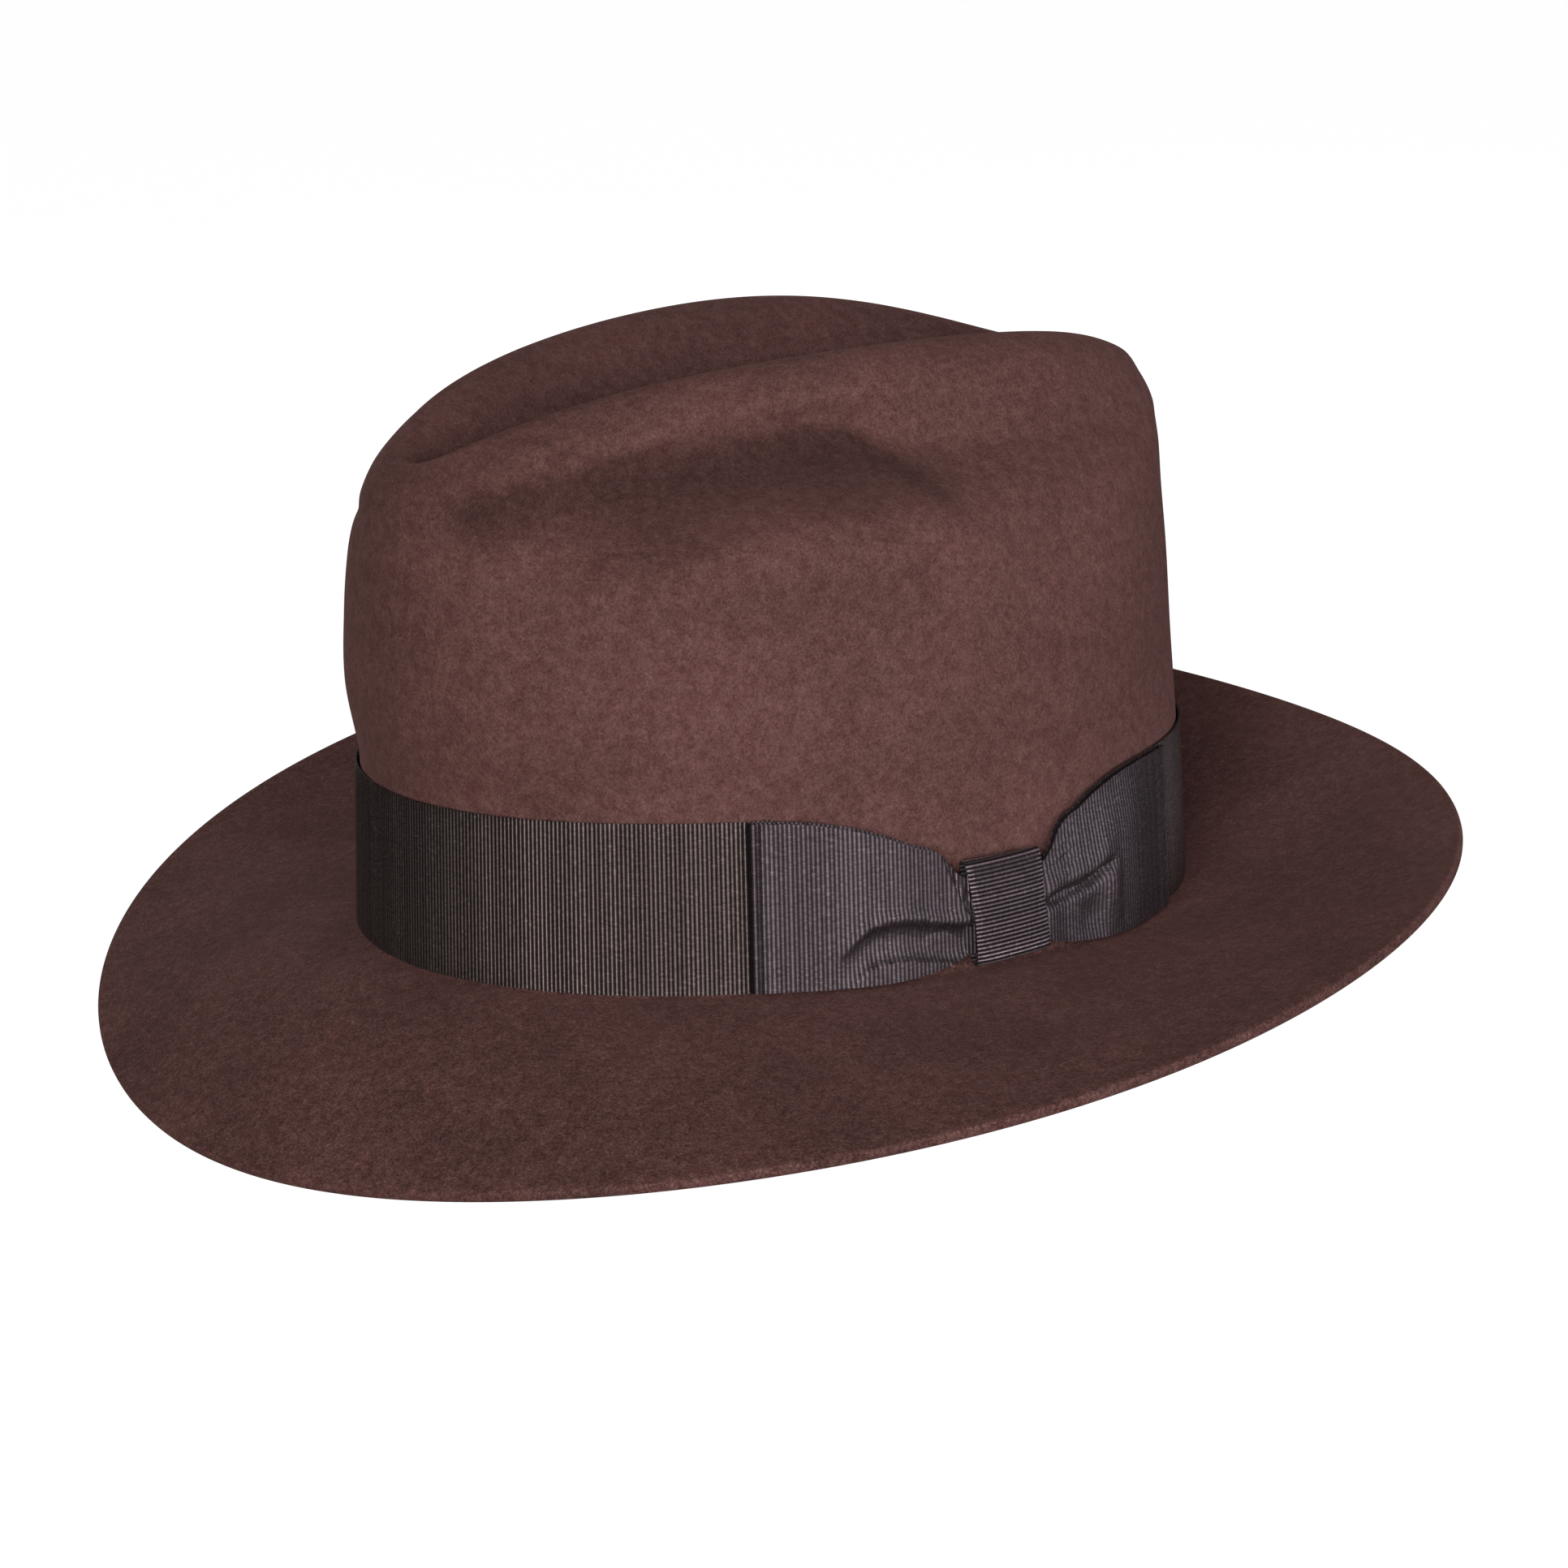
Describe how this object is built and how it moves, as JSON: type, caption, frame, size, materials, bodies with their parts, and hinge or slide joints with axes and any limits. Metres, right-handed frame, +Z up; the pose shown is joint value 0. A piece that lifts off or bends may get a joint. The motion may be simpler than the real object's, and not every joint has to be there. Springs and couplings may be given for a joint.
{
  "type": "fedora hat",
  "caption": "Brown felt fedora with a teardrop crown, snap brim, grosgrain band and flat side bow, leather sweatband and satin lining.",
  "frame": {"origin": "middle of the head opening, at the level of the break where the crown meets the brim", "axes": "+Z up through the crown; -Y is the front of the hat; +X is the wearer's left, the side with the bow"},
  "size_m": [0.3318, 0.3273, 0.1649],
  "materials": {
    "felt": "brushed fur felt",
    "grosgrain": "ribbed, slight sheen",
    "leather": "smooth",
    "reed": "plain",
    "tape": "woven",
    "satin": "satin"
  },
  "bodies": {
    "root": {"felt_body": "felt", "hatband": "grosgrain", "bow_backing": "grosgrain", "bow_loop_front": "grosgrain", "bow_loop_rear": "grosgrain", "bow_knot": "grosgrain", "sweatband": "leather", "sweatband_reed": "reed", "reed_tape": "tape", "sweatband_bow": "grosgrain", "lining_side": "satin", "lining_piping": "satin", "lining_tip": "satin"}
  },
  "joints": []
}
